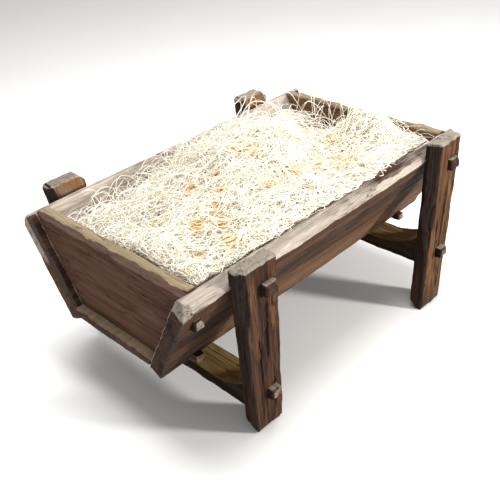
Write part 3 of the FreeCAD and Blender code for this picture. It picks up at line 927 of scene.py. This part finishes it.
def strays(name, count, seed, middle, spread, rises, bend):
    """Single curls that stand out of the heap around one place, as high as rises."""
    rng = np.random.default_rng(seed)
    steps = 22
    limit = np.array((0.28, 0.16))
    start = np.clip(rng.normal(middle, spread, (count, 2)), -limit, limit)
    stride = rng.uniform(0.003, 0.006, count)
    path = wander(rng, start, rng.uniform(0, 2 * math.pi, count), steps, stride, bend, 0.9)
    x = fold(path[..., 0], BED_HALF_LENGTH - END_GAP)
    t = np.linspace(0, 1, steps)
    highest = rng.uniform(*rises, (count, 1))
    top = highest * np.sin(math.pi * np.minimum(1, t * rng.uniform(0.6, 1.1, (count, 1))))
    z = ease(heap(start[:, 0], start[:, 1])[:, None] * (1 - t) + heap(x, path[..., 1]) * t - 0.004 + top)
    y = fold(path[..., 1], room(path[..., 1], z))
    tone = np.broadcast_to(rng.uniform(0, 0.6, (count, 1)), x.shape)
    attribute = np.stack([t * stride[:, None] * steps + start[:, :1], tone, np.zeros_like(x)], axis=-1)
    paths = np.stack([x, y, z], axis=-1)
    widths = rng.uniform(0.0010, 0.0018, count)
    wool_piece(name, ribbon_mesh(name, paths, widths, attribute, twist(rng, count, steps)))


def rosettes(name, ribbons, seed):
    """Tight golden curls that sit in the gaps, each a spiral of several ribbons on edge."""
    rng = np.random.default_rng(seed)
    steps = 44
    middle = np.repeat(GAPS[:, :2], ribbons, axis=0)
    count = len(middle)
    size = np.repeat(GAPS[:, 2], ribbons) * rng.uniform(0.8, 1.0, count)
    t = np.linspace(0, 1, steps)
    angle = rng.uniform(0, 2 * math.pi, (count, 1)) + rng.uniform(7, 13, (count, 1)) * t
    radius = size[:, None] * (0.25 + 0.75 * t) * (1 + 0.18 * np.sin(2.3 * angle))
    x = middle[:, :1] + radius * np.cos(angle)
    y = middle[:, 1:] + radius * np.sin(angle)
    low = rng.uniform(-0.002, 0.006, (count, 1))
    z = heap(x, y) - low + 0.005 + 0.5 * (radius - size[:, None])
    tone = np.broadcast_to(rng.uniform(0, 1, (count, 1)), x.shape)
    attribute = np.stack([radius * angle, tone, 2.0 - 0.5 * t * np.ones_like(x)], axis=-1)
    widths = rng.uniform(0.0022, 0.0038, count)
    on_edge = math.pi / 2 + rng.normal(0, 0.35, (count, 1)) * np.ones(steps)
    wool_piece(name, ribbon_mesh(name, np.stack([x, y, z], axis=-1), widths, attribute, on_edge))


def core(name):
    """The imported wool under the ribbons, a little smaller than the CAD's fill."""
    shrink = np.array((0.98, 0.96, 1))
    mesh = voxel_copy(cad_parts["wood_wool_fill"].data, cell=0.004)
    points = read(mesh.vertices, "co", 3)
    x, y, z = points.T
    rough = noise(points, (0.012, 0.012, 0.012), 8) * 0.004
    wall_gap = np.minimum(BED_HALF_LENGTH - np.abs(x), wall(z) - np.abs(y))
    cover = 0.024 + 0.012 * fade(wall_gap, 0.03, 0.0)
    z = np.maximum(np.minimum(z, heap(x, y) - cover + rough), FLOOR_TOP + 0.006)
    points = np.column_stack([x, y, z]) * shrink
    mesh.vertices.foreach_set("co", points.astype(np.float32).ravel())
    mesh.update()
    mesh.materials.clear()
    mesh.shade_smooth()
    tone = noise(points, (0.006, 0.006, 0.006), 9) * 0.5 + 0.5
    # Its depth of 0.7 gives it part of the painted shade of deep strands.
    strand = np.column_stack([points[:, 0] + points[:, 2], tone, np.full(len(points), 0.7)])
    write_attribute(mesh, "strand", "FLOAT_VECTOR", strand)
    wool_piece(name, mesh, wool(name, bump=0.0012))


layer("wood_wool_deep", STRANDS, 51, depths=(0.016, 0.030))
layer("wood_wool_lower", STRANDS, 52, depths=(0.010, 0.020))
layer("wood_wool_middle", STRANDS, 53, depths=(0.005, 0.013), bend=0.24, lift=0.005)
layer("wood_wool_upper", STRANDS, 54, depths=(0.001, 0.007), steps=22, memory=0.78, lift=0.006)
layer("wood_wool_cover", STRANDS, 64, depths=(0.000, 0.005), bend=0.24, memory=0.78, lift=0.006)
layer("wood_wool_top", STRANDS, 55, depths=(-0.004, 0.003), steps=24, bend=0.18, memory=0.82, lift=0.008)
layer("wood_wool_rim", 3 * STRANDS // 4, 63, depths=(-0.006, 0.010), bend=0.2, memory=0.8, lift=0.006,
      along_boards=True)
layer("wood_wool_curls", STRANDS // 2, 56, depths=(-0.009, 0.001), steps=26, bend=0.34, memory=0.9,
      lift=0.010)
layer("wood_wool_long", STRANDS // 3, 57, depths=(-0.010, -0.002), steps=30, bend=0.12, memory=0.9,
      lift=0.009, reach=1.3)
strays("wood_wool_strays", STRANDS // 4, 58, middle=(-0.02, 0.00), spread=(0.17, 0.09),
       rises=(0.008, 0.032), bend=0.3)
strays("wood_wool_wisps", STRANDS // 10, 60, middle=(-0.03, 0.12), spread=(0.08, 0.05),
       rises=(0.01, 0.04), bend=0.2)
strays("wood_wool_corner", STRANDS // 8, 61, middle=(-0.18, 0.14), spread=(0.09, 0.03),
       rises=(0.015, 0.05), bend=0.18)
strays("wood_wool_spikes", 30, 67, middle=(0.02, 0.12), spread=(0.07, 0.02), rises=(0.04, 0.10), bend=0.12)
strays("wood_wool_flyaways", 24, 59, middle=(0.26, 0.02), spread=(0.025, 0.05), rises=(0.05, 0.13), bend=0.16)
rosettes("wood_wool_rosettes", 3, 62)
packed("wood_wool_sides", 4 * STRANDS // 3, 65)
packed("wood_wool_under", 4 * STRANDS // 3, 66)
core("wood_wool_core")


# ---------------------------------------------------------------- floor, light and camera

FLOOR_DROP = 0.0004
LAMP_AIM = Vector((0, 0, 0.25))


def floor():
    """A pale floor just under the feet, for the picture only."""
    mesh = bpy.data.meshes.new("floor")
    plane = bmesh.new()
    bmesh.ops.create_grid(plane, x_segments=2, y_segments=2, size=6)
    plane.to_mesh(mesh)
    plane.free()
    n = Nodes("floor")
    place = n.add("TexCoord", {}, "Object")
    grain = n.pattern(place, (3, 3, 3), 2)
    colour = n.mix(n.spread(grain, 0.3, 0.7), (0.86, 0.86, 0.86, 1), (0.88, 0.88, 0.88, 1))
    mesh.materials.append(n.finish(colour, n.spread(grain, 0, 1, 0.9, 0.95), grain, 0.0001))
    item = bpy.data.objects.new("floor", mesh)
    item.location.z = -FLOOR_DROP
    scene.collection.objects.link(item)


def lamp(name, place, size, power, colour):
    """A round lamp that looks at the middle of the trough."""
    data = bpy.data.lights.new(name, "AREA")
    data.shape = "DISK"
    data.size = size
    data.energy = power
    data.color = colour
    item = bpy.data.objects.new(name, data)
    item.location = place
    item.rotation_euler = (LAMP_AIM - Vector(place)).to_track_quat("-Z", "Y").to_euler()
    scene.collection.objects.link(item)


floor()
lamp("key", (1.3, -2.4, 0.95), size=0.35, power=98, colour=(1.0, 0.97, 0.93))
lamp("top", (0.1, 0.1, 2.3), size=1.5, power=66, colour=(1.0, 0.99, 0.98))
scene.world = bpy.data.worlds.new("studio")
scene.world.use_nodes = True
background = scene.world.node_tree.nodes["Background"]
background.inputs["Color"].default_value = (1.0, 0.99, 0.97, 1)
background.inputs["Strength"].default_value = 0.52
scene.view_settings.view_transform = "Standard"

# The camera's direction and roll, the point that it is aimed at, its distance from there, and its focal
# length and shift as shares of the picture's width.
AZIMUTH = math.radians(-41.2135)
ELEVATION = math.radians(34.1678)
ROLL = math.radians(-6.1837)
TARGET = Vector((0.0023, 0.0812, 0.0812))
DISTANCE = 1.4623
FOCAL_SHARE = 1.4159
SHIFT_X, SHIFT_Y = 0.0343, 0.0355

forward = Vector((-math.sin(AZIMUTH) * math.cos(ELEVATION),
                  math.cos(AZIMUTH) * math.cos(ELEVATION), -math.sin(ELEVATION)))
level = Vector((math.cos(AZIMUTH), math.sin(AZIMUTH), 0))
upward = level.cross(forward)
right = math.cos(ROLL) * level + math.sin(ROLL) * upward
above = -math.sin(ROLL) * level + math.cos(ROLL) * upward
camera_data = bpy.data.cameras.new("camera")
camera_data.lens = camera_data.sensor_width * FOCAL_SHARE
camera_data.shift_x = SHIFT_X
camera_data.shift_y = SHIFT_Y
camera_data.clip_start = 0.05
camera = bpy.data.objects.new("camera", camera_data)
camera.matrix_world = Matrix.Translation(TARGET - DISTANCE * forward) @ Matrix(
    (right, above, -forward)).transposed().to_4x4()
scene.collection.objects.link(camera)
scene.camera = camera
